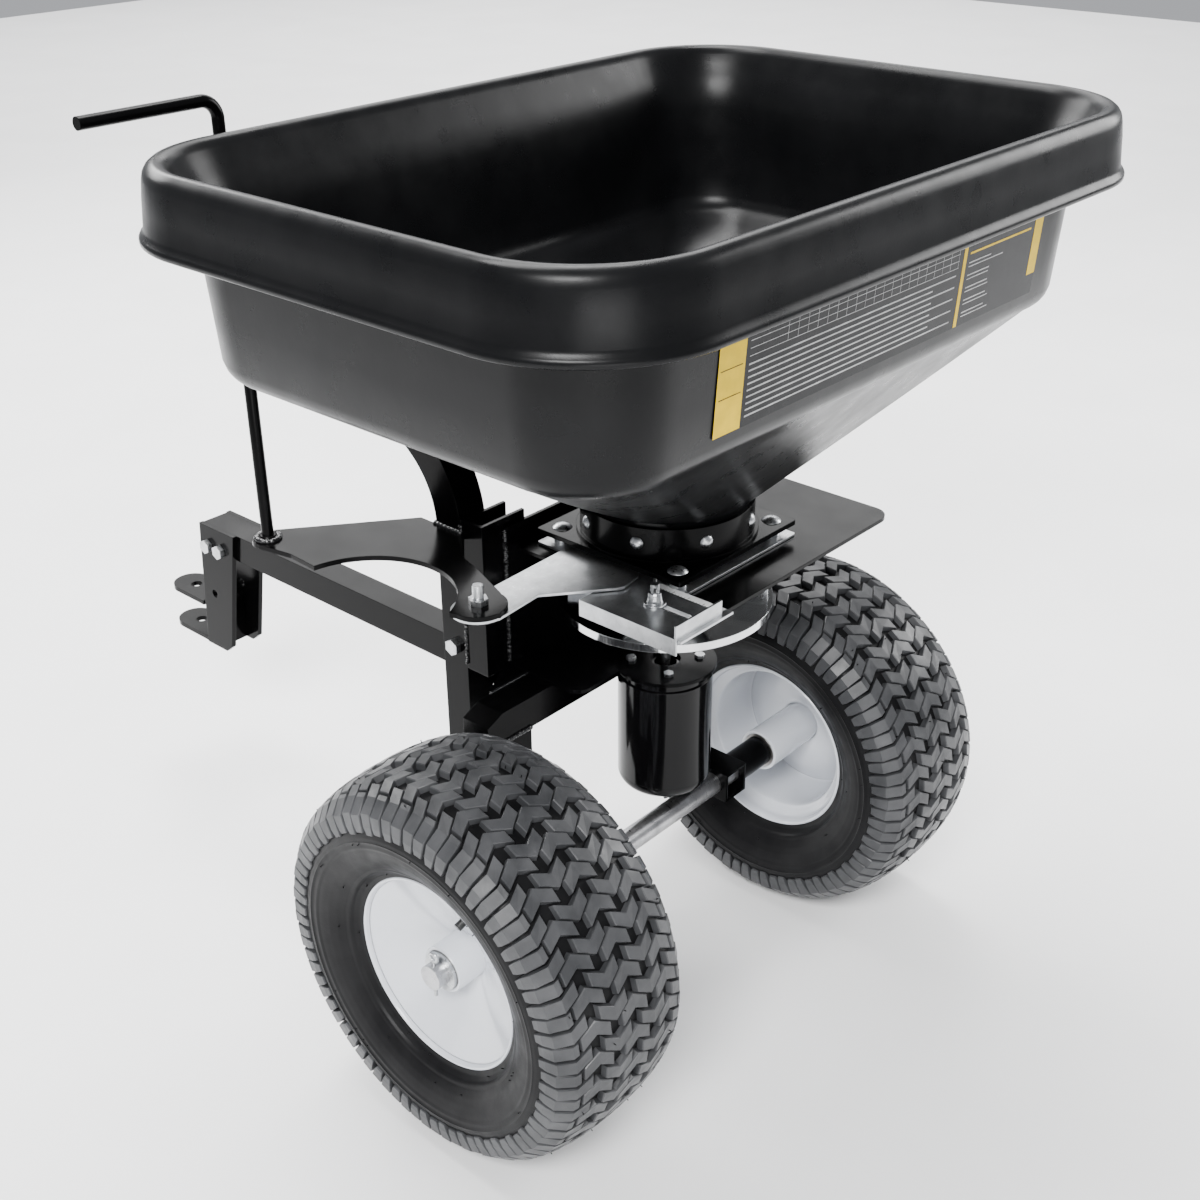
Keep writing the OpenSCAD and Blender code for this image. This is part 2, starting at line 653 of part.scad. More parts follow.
// ---------------------------------------------------------------- wheels
// Half section of a tyre, radius first and width second: a crowned tread, round shoulders, a
// bulged side wall and a bead on the rim
crown_r = 171.5;
crown_n = 2.4;
function crown(t) = [crown_r + (tyre_d / 2 - crown_r) * pow(sin(t), 2 / crown_n),
    tyre_w / 2 * pow(cos(t), 2 / crown_n)];
side_wall = [[160, 84.5], [146, 83], [130, 79], [115, 71], [106, 63], [rim_d / 2, 59]];
inner_wall = [[rim_d / 2, 48], [110, 50], [124, 66], [146, 76], [168, 76], [182, 66], [187, 46]];
module tyre_section() {
    half = concat([for (t = [90:-7.5:0]) crown(t)], side_wall, inner_wall);
    mirrored = [for (i = [len(half) - 1:-1:1]) [half[i][0], -half[i][1]]];
    polygon(concat(half, mirrored));
}
module tyre(s) {
    rubber() placed() translate([s * half_track, 0, axle_z]) rotate([0, 90, 0]) rotate_extrude($fn = 128)
        tyre_section();
}
// Pressed rim: a bowl that faces outwards, a barrel with a drop well behind it and the hub tube
rim_bowl = [[102, 57], [102, 60], [98.5, 60], [95.5, 52], [89.5, 38], [78, 25], [60, 16], [23, 13], [23, 10],
    [60, 13], [79.5, 22], [92.5, 36], [98.5, 50], [99, 57]];
rim_barrel = [[84, 26], [84, -38], [96, -47], [96, -56], [98.5, -60], [102, -60], [102, -57], [99, -54],
    [99, -45], [87, -36], [87, 32]];
module rim(s) {
    white() placed() translate([s * half_track, 0, axle_z]) rotate([0, s * 90, 0]) {
        rotate_extrude($fn = 128) {
            polygon(rim_bowl);
            polygon(rim_barrel);
        }
        translate([0, 0, -hub_in]) difference() {
            cylinder(d = hub_d, h = hub_in + hub_out);
            translate([0, 0, -1]) cylinder(d = hub_d - 8, h = hub_in + hub_out + 2);
        }
    }
}
module bearings(s) {
    zinc() placed() translate([s * half_track, 0, axle_z]) rotate([0, s * 90, 0])
        for (z = [-hub_in, hub_out - 18]) translate([0, 0, z]) difference() {
            cylinder(d = hub_d - 8, h = 18);
            translate([0, 0, -1]) cylinder(d = axle_d + 0.1, h = 20);
        }
}
module valve(s) {
    color([0.05, 0.05, 0.05]) placed() translate([s * half_track, 0, axle_z]) rotate([0, s * 90, 0])
        rotate([0, 0, -16]) translate([66.5, 0, 19.5]) rotate([0, -26.6, 0]) {
            cylinder(r = 5.5, h = 12);
            cylinder(r = 4.2, h = 25);
        }
}
module tyre_left() { tyre(-1); }
module tyre_right() { tyre(1); }
module rim_left() { rim(-1); }
module rim_right() { rim(1); }
module bearings_left() { bearings(-1); }
module bearings_right() { bearings(1); }
module valve_left() { valve(-1); }
module valve_right() { valve(1); }

tongue();
cross_tube();
corner_gussets();
axle_leg_left();
axle_leg_right();
axle_arm_left();
axle_arm_right();
axle();
axle_sleeves();
axle_washers();
cotter_pins();
hitch_plate_left();
hitch_plate_right();
hitch_tab_upper();
hitch_tab_lower();
hitch_web();
hitch_bolts();
mast();
mast_bolt();
hopper_saddle();
saddle_bolts();
support_plate();
guide_rod();
gate_stud();
mount_channel();
front_guard();
deflector_plate();
motor_plate();
motor_flange();
motor_can();
motor_end_bell();
motor_screws();
base_plate();
slide_plate();
plate_spacers();
plate_bolts();
collar_ring();
collar_screws();
hopper();
chart_panel();
scale_plate();
gate();
stop_bolt();
stop_washers();
wing_nut();
spinner_disc();
spinner_fins();
spinner_hub();
spinner_shaft();
tyre_left();
rim_left();
bearings_left();
valve_left();
tyre_right();
rim_right();
bearings_right();
valve_right();
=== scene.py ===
import math
import random

import bpy
from mathutils import Matrix, Vector


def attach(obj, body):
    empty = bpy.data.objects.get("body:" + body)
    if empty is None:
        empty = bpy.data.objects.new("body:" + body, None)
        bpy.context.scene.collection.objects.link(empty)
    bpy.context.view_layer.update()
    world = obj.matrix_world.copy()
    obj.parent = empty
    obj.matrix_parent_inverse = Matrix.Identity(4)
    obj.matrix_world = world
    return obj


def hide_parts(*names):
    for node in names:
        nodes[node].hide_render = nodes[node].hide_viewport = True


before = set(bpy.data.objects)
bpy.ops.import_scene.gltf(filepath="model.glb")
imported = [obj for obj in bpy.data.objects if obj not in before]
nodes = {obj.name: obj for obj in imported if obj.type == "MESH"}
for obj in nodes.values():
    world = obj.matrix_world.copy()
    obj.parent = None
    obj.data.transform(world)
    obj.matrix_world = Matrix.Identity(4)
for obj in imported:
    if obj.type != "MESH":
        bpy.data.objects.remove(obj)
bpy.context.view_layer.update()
random.seed(7)

MM = 0.001
MID_X, MID_Y = 41.0, 256.0    # the part's origin, measured from the middle of the axle
AXLE_Z = 200.0                # height of the axle
HALF_TRACK = 259.0            # from the middle of the axle to the middle of a wheel
OUT_X, OUT_Y = 45.0, 24.0     # the hopper's outlet, from the middle of the axle


def at(x, y, z):
    """A point given about the axle in millimetres, as a point of the part's frame in metres."""
    return Vector(((x - MID_X) * MM, (y - MID_Y) * MM, z * MM))


# ------------------------------------------------------------------ materials
class Shader:
    """A Principled material with a small tree of procedural nodes."""

    def __init__(self, name):
        self.mat = bpy.data.materials.new(name)
        self.mat.use_nodes = True
        self.tree = self.mat.node_tree
        self.bsdf = self.tree.nodes["Principled BSDF"]
        self.coord = self.tree.nodes.new("ShaderNodeTexCoord").outputs["Object"]

    def node(self, kind, **values):
        n = self.tree.nodes.new(kind)
        for key, value in values.items():
            if key in n.inputs:
                n.inputs[key].default_value = value
            else:
                setattr(n, key, value)
        return n

    def link(self, a, b):
        self.tree.links.new(a, b)

    def stretched(self, scale):
        m = self.node("ShaderNodeMapping")
        m.inputs["Scale"].default_value = scale
        self.link(self.coord, m.inputs["Vector"])
        return m.outputs["Vector"]

    def noise(self, scale, detail=4.0, rough=0.55, stretch=None):
        n = self.node("ShaderNodeTexNoise")
        n.inputs["Scale"].default_value = scale
        n.inputs["Detail"].default_value = detail
        n.inputs["Roughness"].default_value = rough
        self.link(self.stretched(stretch) if stretch else self.coord, n.inputs["Vector"])
        return n.outputs["Fac"]

    def ramp(self, source, low, high, a=0.3, b=0.7):
        r = self.node("ShaderNodeMapRange")
        r.inputs["From Min"].default_value = a
        r.inputs["From Max"].default_value = b
        r.inputs["To Min"].default_value = low
        r.inputs["To Max"].default_value = high
        self.link(source, r.inputs["Value"])
        return r.outputs["Result"]

    def mix(self, fac, a, b):
        m = self.node("ShaderNodeMix", data_type="RGBA")
        self.link(fac, m.inputs[0])
        for sock, value in ((m.inputs[6], a), (m.inputs[7], b)):
            if isinstance(value, tuple):
                sock.default_value = (*value, 1.0)
            else:
                self.link(value, sock)
        return m.outputs[2]

    def bump(self, *layers, normal=None):
        last = normal
        for height, strength, distance in layers:
            b = self.node("ShaderNodeBump")
            b.inputs["Strength"].default_value = strength
            b.inputs["Distance"].default_value = distance
            self.link(height, b.inputs["Height"])
            if last is not None:
                self.link(last, b.inputs["Normal"])
            last = b.outputs["Normal"]
        self.link(last, self.bsdf.inputs["Normal"])

    def edges(self, radius):
        b = self.node("ShaderNodeBevel", samples=4)
        b.inputs["Radius"].default_value = radius
        return b.outputs["Normal"]

    def set(self, **values):
        for key, value in values.items():
            self.bsdf.inputs[key.replace("_", " ")].default_value = value

    def wire(self, name, source):
        self.link(source, self.bsdf.inputs[name])


def two_tone(s, dark, light, scale, detail=5.0):
    """A colour that drifts between two tones."""
    return s.mix(s.ramp(s.noise(scale, detail), 0.0, 1.0, 0.35, 0.65), dark, light)


def rough_range(s, source, rough):
    s.wire("Roughness", s.ramp(source, rough[0], rough[1], 0.3, 0.7))


def painted(name, dark, light, rough, coat, peel=0.05, edge=0.0011, spec=0.06):
    """Paint with a clear coat, orange peel, a little dust and softened edges."""
    s = Shader(name)
    dust = s.mix(s.ramp(s.noise(38, 9, 0.7), 0.0, 0.35, 0.52, 0.8), dark, light)
    s.wire("Base Color", dust)
    rough_range(s, s.noise(16, 6), rough)
    s.set(Coat_Weight=coat, Coat_Roughness=0.06, IOR=1.5, Specular_IOR_Level=spec)
    s.bump((s.noise(520, 2), peel, 0.0004), (s.noise(60, 3), 0.04, 0.0012), normal=s.edges(edge))
    return s.mat


def metal(name, dark, light, rough, grain=None, grain_scale=300, spangle=0.0, bumps=0.08):
    """Bare or plated metal; grain stretches its fine marks, spangle adds zinc flowers."""
    s = Shader(name)
    tone = s.noise(45, 7, 0.65)
    colour = s.mix(s.ramp(tone, 0.0, 1.0, 0.35, 0.68), dark, light)
    if spangle:
        v = s.node("ShaderNodeTexVoronoi")
        v.inputs["Scale"].default_value = 140
        s.link(s.coord, v.inputs["Vector"])
        colour = s.mix(s.ramp(v.outputs["Distance"], 0.0, spangle, 0.1, 0.7), colour, light)
    s.wire("Base Color", colour)
    fine = s.noise(grain_scale, 4, 0.6, grain)
    rough_range(s, fine, rough)
    s.set(Metallic=1.0)
    s.bump((fine, bumps, 0.0003), normal=s.edges(0.0007))
    return s.mat


def plastic():
    s = Shader("hopper_plastic_look")
    s.wire("Base Color", two_tone(s, (0.0022, 0.0023, 0.0026), (0.0040, 0.0041, 0.0045), 9, 6))
    rough_range(s, s.noise(30, 6), (0.25, 0.35))
    s.set(IOR=1.5, Specular_IOR_Level=0.13)
    s.bump((s.noise(700, 3), 0.10, 0.0004), (s.noise(95, 4), 0.05, 0.0012),
           (s.noise(7, 2), 0.10, 0.01))
    return s.mat


def rubber(name, dark, light, rough, spec=0.36):
    s = Shader(name)
    s.wire("Base Color", two_tone(s, dark, light, 24, 8))
    rough_range(s, s.noise(60, 6), rough)
    s.set(IOR=1.48, Specular_IOR_Level=spec)
    s.bump((s.noise(900, 3), 0.16, 0.0004), (s.noise(150, 4), 0.12, 0.0008))
    return s.mat


def film(name, dark, light, rough):
    s = Shader(name)
    s.wire("Base Color", two_tone(s, dark, light, 70, 6))
    rough_range(s, s.noise(120, 4), rough)
    s.set(IOR=1.5, Specular_IOR_Level=0.1)
    s.bump((s.noise(300, 2), 0.03, 0.0003))
    return s.mat


BLACK = painted("powder_coat_look", (0.0012, 0.0012, 0.0013), (0.0055, 0.0055, 0.006),
                (0.13, 0.25), 0.015)
# Weld beads: a lighter black than the powder coat, a painted highlight standing in for their sparkle;
# the stronger coat and specular give real gloss.
WELD_PAINTED_HIGHLIGHT = painted("weld_painted_highlight_look", (0.006, 0.006, 0.0065), (0.05, 0.05, 0.052),
               (0.15, 0.30), 0.3, peel=0.25, edge=0.0004, spec=0.5)
MOTOR = painted("motor_look", (0.002, 0.002, 0.0022), (0.006, 0.006, 0.006),
                (0.08, 0.16), 0.12, peel=0.02, spec=0.15)
WHITE = painted("rim_enamel_look", (0.60, 0.62, 0.66), (0.50, 0.52, 0.56),
                (0.14, 0.24), 0.7, peel=0.03, spec=0.5)
ZINC = metal("zinc_look", (0.34, 0.35, 0.36), (0.60, 0.61, 0.62), (0.22, 0.42), spangle=0.5)
SHEET = metal("zinc_sheet_look", (0.42, 0.43, 0.44), (0.62, 0.63, 0.64), (0.26, 0.44),
              grain=(1.0, 14.0, 1.0), grain_scale=120, bumps=0.10)
POLISHED = metal("polished_look", (0.66, 0.67, 0.68), (0.80, 0.81, 0.82), (0.05, 0.12),
                 grain=(1.0, 6.0, 1.0), grain_scale=90, bumps=0.012)
AXLE = metal("axle_steel_look", (0.33, 0.33, 0.34), (0.56, 0.56, 0.57), (0.24, 0.44),
             grain=(20.0, 2.0, 2.0), grain_scale=60, bumps=0.10)
BEARING = metal("bearing_look", (0.28, 0.27, 0.26), (0.52, 0.51, 0.50), (0.3, 0.5),
                grain_scale=200)
HOPPER = plastic()
# Tread blocks: the rubber painted lighter than the carcass, a painted highlight on the lit tops of the
# blocks.
TYRE_PAINTED_HIGHLIGHT = rubber("tyre_painted_highlight_look", (0.026, 0.027, 0.029), (0.054, 0.055, 0.058), (0.32, 0.50))
# Carcass: the same rubber painted much darker, painted shade on the side walls and on the groove
# floors between the blocks.
CARCASS_PAINTED_SHADE = rubber("carcass_painted_shade_look", (0.0045, 0.0045, 0.005), (0.0085, 0.0085, 0.009), (0.32, 0.48),
              spec=0.12)
STEM = rubber("valve_look", (0.010, 0.010, 0.010), (0.020, 0.020, 0.020), (0.35, 0.5))
FILM_BLACK = film("film_black_look", (0.006, 0.006, 0.007), (0.013, 0.013, 0.014), (0.16, 0.26))
FILM_YELLOW = film("film_yellow_look", (0.58, 0.39, 0.0), (0.68, 0.46, 0.001), (0.28, 0.38))
FILM_GREY = film("film_grey_look", (0.28, 0.28, 0.28), (0.40, 0.40, 0.40), (0.3, 0.4))
LABEL = film("label_look", (0.62, 0.63, 0.63), (0.76, 0.77, 0.77), (0.25, 0.35))


def paint(names, mat):
    """Gives one material to the named CAD nodes."""
    for n in names.split():
        data = nodes[n].data
        data.materials.clear()
        data.materials.append(mat)


paint("tongue cross_tube corner_gussets axle_leg_left axle_leg_right axle_arm_left "
      "axle_arm_right axle_sleeves hitch_plate_left hitch_plate_right hitch_tab_upper "
      "hitch_tab_lower hitch_web mast hopper_saddle support_plate guide_rod mount_channel "
      "front_guard deflector_plate motor_plate base_plate collar_ring", BLACK)
paint("motor_flange motor_can motor_end_bell", MOTOR)
paint("cotter_pins axle_washers hitch_bolts mast_bolt saddle_bolts gate_stud motor_screws "
      "plate_spacers plate_bolts collar_screws stop_bolt stop_washers wing_nut spinner_hub "
      "spinner_shaft", ZINC)
paint("slide_plate scale_plate gate", SHEET)
paint("spinner_disc spinner_fins", POLISHED)
paint("axle", AXLE)
paint("bearings_left bearings_right", BEARING)
paint("hopper", HOPPER)
paint("chart_panel", FILM_BLACK)
paint("tyre_left tyre_right", TYRE_PAINTED_HIGHLIGHT)
paint("rim_left rim_right", WHITE)
paint("valve_left valve_right", STEM)


# ------------------------------------------------------------------ mesh helpers
def mesh(name, verts, faces, mat, body, angle=None):
    """One piece in the part's frame; angle is its crease angle in degrees, None for flat faces."""
    data = bpy.data.meshes.new(name)
    data.from_pydata([tuple(v) for v in verts], [], faces)
    data.materials.append(mat)
    if angle is not None:
        data.polygons.foreach_set("use_smooth", [True] * len(data.polygons))
        data.set_sharp_from_angle(angle=math.radians(angle))
    data.update()
    obj = bpy.data.objects.new(name, data)
    bpy.context.scene.collection.objects.link(obj)
    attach(obj, body)
    return obj


class Pile:
    """Collects many small pieces into one mesh."""

    def __init__(self):
        self.verts = []
        self.faces = []

    def add(self, verts, faces):
        """Adds faces that count from the first of verts."""
        base = len(self.verts)
        self.verts.extend(verts)
        self.faces.extend([tuple(base + i for i in f) for f in faces])

    def block(self, foot, bevel, top):
        """A block's sides and bevel; returns the number of the first vertex of its top."""
        n = len(foot)
        faces = []
        for k in (0, n):
            for i in range(n):
                j = (i + 1) % n
                faces.append((k + i, k + j, k + n + j, k + n + i))
        self.add(foot + bevel + top, faces)
        return len(self.verts) - n

    def tube(self, points, radius, sides=12, close=True):
        """A round tube along points; radius is a number or one per point."""
        n = len(points)
        rings = []
        for i, p in enumerate(points):
            d = (points[min(i + 1, n - 1)] - points[max(i - 1, 0)]).normalized()
            side = d.cross(Vector((0, 0, 1)))
            if side.length < 0.05:
                side = d.cross(Vector((1, 0, 0)))
            side.normalize()
            up = side.cross(d)
            r = radius[i] if isinstance(radius, list) else radius
            rings.append([p + (side * math.cos(t) + up * math.sin(t)) * r
                          for t in (2 * math.pi * k / sides for k in range(sides))])
        verts = [v for ring in rings for v in ring]
        faces = ring_faces(n, sides)
        if close:
            faces.append(tuple(range(sides - 1, -1, -1)))
            faces.append(tuple((n - 1) * sides + i for i in range(sides)))
        self.add(verts, faces)


def ring_faces(rings, count, closed=False):
    """Quads between rings of count points each, and round to the first ring if closed."""
    faces = []
    for k in range(rings if closed else rings - 1):
        here, there = k * count, (k + 1) % rings * count
        for i in range(count):
            j = (i + 1) % count
            faces.append((here + i, here + j, there + j, there + i))
    return faces


def spun(profile, sides, centre, axis_side, closed=True):
    """Verts and faces of a profile of (radius, outward offset) turned about a wheel's axle."""
    verts = []
    for r, off in profile:
        for i in range(sides):
            t = 2 * math.pi * i / sides
            verts.append(at(centre + axis_side * off, r * math.sin(t), AXLE_Z + r * math.cos(t)))
    faces = ring_faces(len(profile), sides, closed)
    if axis_side > 0:
        faces = [tuple(reversed(f)) for f in faces]
    return verts, faces


# ------------------------------------------------------------------ tyres
TYRE_R = 200.0                       # outside radius
CROWN_R, CROWN_A, CROWN_N = 171.5, 84.0, 2.4    # the crown's ellipse: centre, half width, power
PATH_STEP = 2.0                      # spacing of the outline's points
PITCHES = 38                         # tread patterns round the tyre
TREAD = 6.6                          # depth of the grooves
PER_MM = 1 / 192.0                   # angle for 1 mm along the tread
SHOULDER, SHOULDER_END = 98, 114     # arc lengths where the grooves run out


def outline():
    """Half outline of the tyre from the middle of the tread to the bead, in even steps."""
    raw = []
    for k in range(61):
        t = math.radians(90 - 1.5 * k)
        raw.append((CROWN_A * max(0.0, math.cos(t)) ** (2 / CROWN_N),
                    CROWN_R + (TYRE_R - CROWN_R) * max(0.0, math.sin(t)) ** (2 / CROWN_N)))
    for y, r in ((84.6, 165), (84.6, 158), (84.1, 151), (83, 144), (81.2, 137), (78.6, 130), (75, 123),
                 (70.6, 116.5), (65.4, 110.5), (61, 106), (59.6, 103), (58.6, 99.5)):
        raw.append((y, r))
    out = [raw[0]]
    run = 0.0
    for a, b in zip(raw, raw[1:]):
        seg = math.hypot(b[0] - a[0], b[1] - a[1])
        while run + seg >= PATH_STEP:
            f = (PATH_STEP - run) / seg
            a = (a[0] + (b[0] - a[0]) * f, a[1] + (b[1] - a[1]) * f)
            seg = math.hypot(b[0] - a[0], b[1] - a[1])
            run = 0.0
            out.append(a)
        run += seg
    return out


PATH = outline()
PATH_LEN = PATH_STEP * (len(PATH) - 1)


def on_path(u, depth):
    """(offset, radius) at arc length u from the tread's middle, depth mm under the skin."""
    s = min(abs(u) / PATH_STEP, len(PATH) - 1.001)
    i = int(s)
    f = s - i
    a, b = PATH[i], PATH[i + 1]
    y, r = a[0] + (b[0] - a[0]) * f, a[1] + (b[1] - a[1]) * f
    c, d = PATH[max(i - 1, 0)], PATH[min(i + 2, len(PATH) - 1)]
    ty, tr = d[0] - c[0], d[1] - c[1]
    n = math.hypot(ty, tr)
    y, r = y + tr / n * depth, r - ty / n * depth
    return (y if u >= 0 else -y), r


def carcass_profile():
    """(radius, offset) of the carcass: full skin on the side walls, drawn in under the tread."""
    ridges = ((117.0, 0.9, 1.3), (124.0, 0.5, 1.0), (PATH_LEN - 15, 0.8, 1.6))
    prof = []
    u = -PATH_LEN + 0.01
    while u < PATH_LEN:
        a = abs(u)
        depth = 0.0
        if a < SHOULDER:
            depth = TREAD
        elif a < SHOULDER_END:
            depth = max(0.0, TREAD * (1 - (a - SHOULDER) / (SHOULDER_END - SHOULDER)))
        for ridge_at, high, half in ridges:
            if abs(a - ridge_at) < half:
                depth = -high
        y, r = on_path(u, depth)
        prof.append((r, y))
        u += 1.5
    # the inside, along the rim
    for y, r in ((57.0, 98.8), (50, 99.4), (30, 99.8), (0, 99.8), (-30, 99.8), (-50, 99.4),
                 (-57.0, 98.8)):
        prof.append((r, y))
    return prof


def pattern():
    """The blocks of one pitch, each as corners (u, s) in mm; s runs round the tyre."""
    arm, rise, thick, column = 15.5, 9.3, 12.5, 23.5
    knee, start = 70.5, -10
    for c in range(-2, 3):
        up = 1 if c % 2 else -1
        s0 = (0.0 if c % 2 else 21.3) + (0 if up > 0 else rise)
        jig = random.uniform(-0.15, 0.15)
        chevron = [(-arm, up * rise), (0, 0), (arm, up * rise), (arm, up * rise + thick),
                   (0, thick), (-arm, up * rise + thick)]
        yield [(c * column + u, s + s0 + start + jig) for u, s in chevron]
    # one arm of a chevron that runs straight out over the shoulder
    long_lug = [(knee - arm, rise), (knee, 0), (88, -0.6), (101, -0.6), (109, 0.6), (109, 9.6),
                (101, 11.6), (88, 12.2), (knee, thick), (knee - arm, rise + thick)]
    # a shorter one between two long ones
    short_lug = [(67, 18.9), (72, 16.6), (90, 16.0), (101, 16.0), (107, 17.2), (107, 27.0),
                 (101, 28.4), (90, 28.8), (72, 28.8), (67, 30.6)]
    for e in (-1, 1):
        for lug in (long_lug, short_lug):
            yield [(e * u, s + start) for u, s in lug][::e]


def add_lug(pile, corners, phase, place):
    """One tread block with sloping sides, a bevelled edge and a top of quads."""
    count = len(corners)
    cu = sum(p[0] for p in corners) / count
    cs = sum(p[1] for p in corners) / count

    def ring(grow, depth):
        out = []
        for u, s in corners:
            du, ds = u - cu, s - cs
            k = 1 + grow / max(1e-6, math.hypot(du, ds))
            out.append(place(cu + du * k, phase + (cs + ds * k) * PER_MM, depth))
        return out

    first = pile.block(ring(2.4, TREAD + 0.6), ring(0.8, 0.9), ring(-0.1, 0.0))
    for i in range(count // 2 - 1):
        quad = (i, i + 1, count - 2 - i, count - 1 - i)
        pile.faces.append(tuple(first + j for j in quad))


def tyre(side, name):
    centre = side * HALF_TRACK
    body = name.replace("tyre", "wheel")

    def place(u, ang, depth):
        y, r = on_path(u, depth)
        return at(centre + side * y, r * math.sin(ang), AXLE_Z + r * math.cos(ang))

    # The carcass, groove floors included, takes the darker rubber: painted shade in the grooves.
    verts, faces = spun(carcass_profile(), 190, centre, side)
    shell = mesh(name + "_carcass", verts, faces, CARCASS_PAINTED_SHADE, body, 40)
    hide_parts(name)

    pile = Pile()
    pitch = 2 * math.pi / PITCHES
    for k in range(PITCHES):
        for corners in pattern():
            add_lug(pile, corners, k * pitch, place)
    faces = pile.faces
    if side < 0:
        faces = [tuple(reversed(f)) for f in faces]
    # The blocks take the lighter rubber: a painted highlight on their tops.
    mesh(name + "_tread", pile.verts, faces, TYRE_PAINTED_HIGHLIGHT, body)

    # moulding hairs on the side wall and on the blocks
    hairs = Pile()
    spots = [(random.uniform(0, 2 * math.pi), random.choice((-1, 1)) * u)
             for u in (PATH_LEN - 7.0, PATH_LEN - 26, 120.0) for _ in range(26)]
    spots += [(random.uniform(0, 2 * math.pi), random.uniform(-70, 70)) for _ in range(50)]
    for ang, u in spots:
        foot = place(u, ang, 0.6)
        tip = place(u, ang, -random.uniform(1.2, 2.6))
        hairs.tube([foot, tip], 0.00055, 6)
    mesh(name + "_hairs", hairs.verts, hairs.faces, CARCASS_PAINTED_SHADE, body, 60)


tyre(-1, "tyre_left")
tyre(1, "tyre_right")


# ------------------------------------------------------------------ rims
def smooth(points):
    """Catmull-Rom curve through points."""
    steps = 4
    out = []
    n = len(points)
    for i in range(n - 1):
        p0, p1 = points[max(i - 1, 0)], points[i]
        p2, p3 = points[i + 1], points[min(i + 2, n - 1)]
        for k in range(steps):
            t = k / steps
            out.append(tuple(0.5 * (2 * b + (c - a) * t + (2 * a - 5 * b + 4 * c - d) * t * t
                                    + (3 * b - a - 3 * c + d) * t ** 3)
                             for a, b, c, d in zip(p0, p1, p2, p3)))
    out.append(points[-1])
    return out


# rim profiles as (radius, outward offset)
BOWL = [(101.6, 58.2), (100.6, 60.0), (98.6, 59.4), (97.2, 56.0), (95.0, 48.0), (90.5, 38.5),
        (85.0, 31.0), (77.0, 24.6), (66.0, 19.2), (54.0, 15.6), (40.0, 13.4), (30.0, 13.2),
        (25.5, 14.6), (24.2, 17.5)]
BOWL_EDGE = (99.5, 56.5)
BARREL = [(24.2, 8.0), (26.0, 10.0), (40.0, 10.2), (60.0, 12.8), (79.5, 21.6), (84.0, 24.0),
          (84.2, 10.0), (84.0, -36.0), (88.0, -43.0), (95.0, -48.0), (96.0, -55.0), (98.0, -59.6),
          (100.4, -60.0), (101.8, -58.0)]
HUB = [(24.0, -72.6), (24.0, 49.0), (23.4, 50.0), (21.0, 50.0), (20.2, 49.2), (20.2, -72.0),
       (21.0, -73.0), (23.4, -73.0)]
HUB_WELD_R, HUB_WELD_OFF = 25.2, 15.4


def rim(side, name):
    body = name.replace("rim", "wheel")
    centre = side * HALF_TRACK
    verts, faces = spun(smooth(BOWL) + [BOWL_EDGE], 160, centre, side, False)
    bowl = mesh(name + "_bowl", verts, faces, WHITE, body, 50)
    verts, faces = spun(smooth(BARREL), 160, centre, side, False)
    faces = [tuple(reversed(f)) for f in faces]
    mesh(name + "_barrel", verts, faces, WHITE, body, 50)
    verts, faces = spun(HUB, 72, centre, side)
    mesh(name + "_hub", verts, faces, WHITE, body, 35)
    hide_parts(name)
    # weld bead where the tube meets the bowl
    weld = Pile()
    n = 96
    pts, rad = [], []
    for i in range(n + 1):
        t = 2 * math.pi * i / n
        pts.append(at(side * (HALF_TRACK + HUB_WELD_OFF), HUB_WELD_R * math.sin(t),
                      AXLE_Z + HUB_WELD_R * math.cos(t)))
        rad.append((2.3 + 0.35 * math.sin(t * 31)) * MM)
    weld.tube(pts, rad, 10, False)
    mesh(name + "_bead", weld.verts, weld.faces, WHITE, body, 70)


rim(-1, "rim_left")
rim(1, "rim_right")


# ------------------------------------------------------------------ hopper
HOP_X, HOP_Y = 825.0, 590.0           # size of the rim
HOP_MID_X, HOP_MID_Y = 41.0, 33.0     # its middle, from the middle of the axle
TOP, LIP, FUNNEL = 919.0, 853.0, 729.0    # heights of the rim, the band's foot, the walls' foot
WALL_IN, FUNNEL_IN = 52.6, 67         # how far the walls' and the funnel's feet stand in
THICK = 5.0
NECK_LOW, NECK_TOP = 531, 568         # the round neck
NECK_OUT, NECK_IN = 83.0, 78.2        # its radii
CORNER = 16                           # points round each corner
SPLITS = (0.02, 0.25, 0.5, 0.75, 0.98)    # points along each side


def hopper_angles():
    return [(c, 90 * c + 90 * (i + 0.5) / CORNER) for c in range(4) for i in range(CORNER)]


def corner_radius(inset):
    return max(24, 125 - inset * 0.85)


def rim_ring(z, inset):
    """A rounded rectangle, inset from the hopper's largest outline."""
    r = corner_radius(inset)
    pts = []
    for c, a in hopper_angles():
        sx = 1 if c in (0, 3) else -1
        sy = 1 if c < 2 else -1
        t = math.radians(a)
        x = HOP_MID_X + sx * (HOP_X / 2 - inset - r) + r * math.cos(t)
        y = HOP_MID_Y + sy * (HOP_Y / 2 - inset - r) + r * math.sin(t)
        pts.append((x, y, z))
    out = []
    for i, p in enumerate(pts):
        out.append(p)
        if i % CORNER == CORNER - 1:
            q = pts[(i + 1) % len(pts)]
            out += [tuple(a + (b - a) * f for a, b in zip(p, q)) for f in SPLITS]
    return out


def neck_ring(z, r):
    """A circle about the outlet, with as many points as a rim ring."""
    angles = hopper_angles()
    turns = []
    for i, (_, a) in enumerate(angles):
        turns.append(a)
        if i % CORNER == CORNER - 1:
            gap = (angles[(i + 1) % len(angles)][1] - a) % 360
            turns += [a + gap * f for f in SPLITS]
    return [(OUT_X + r * math.cos(t), OUT_Y + r * math.sin(t), z) for t in map(math.radians, turns)]


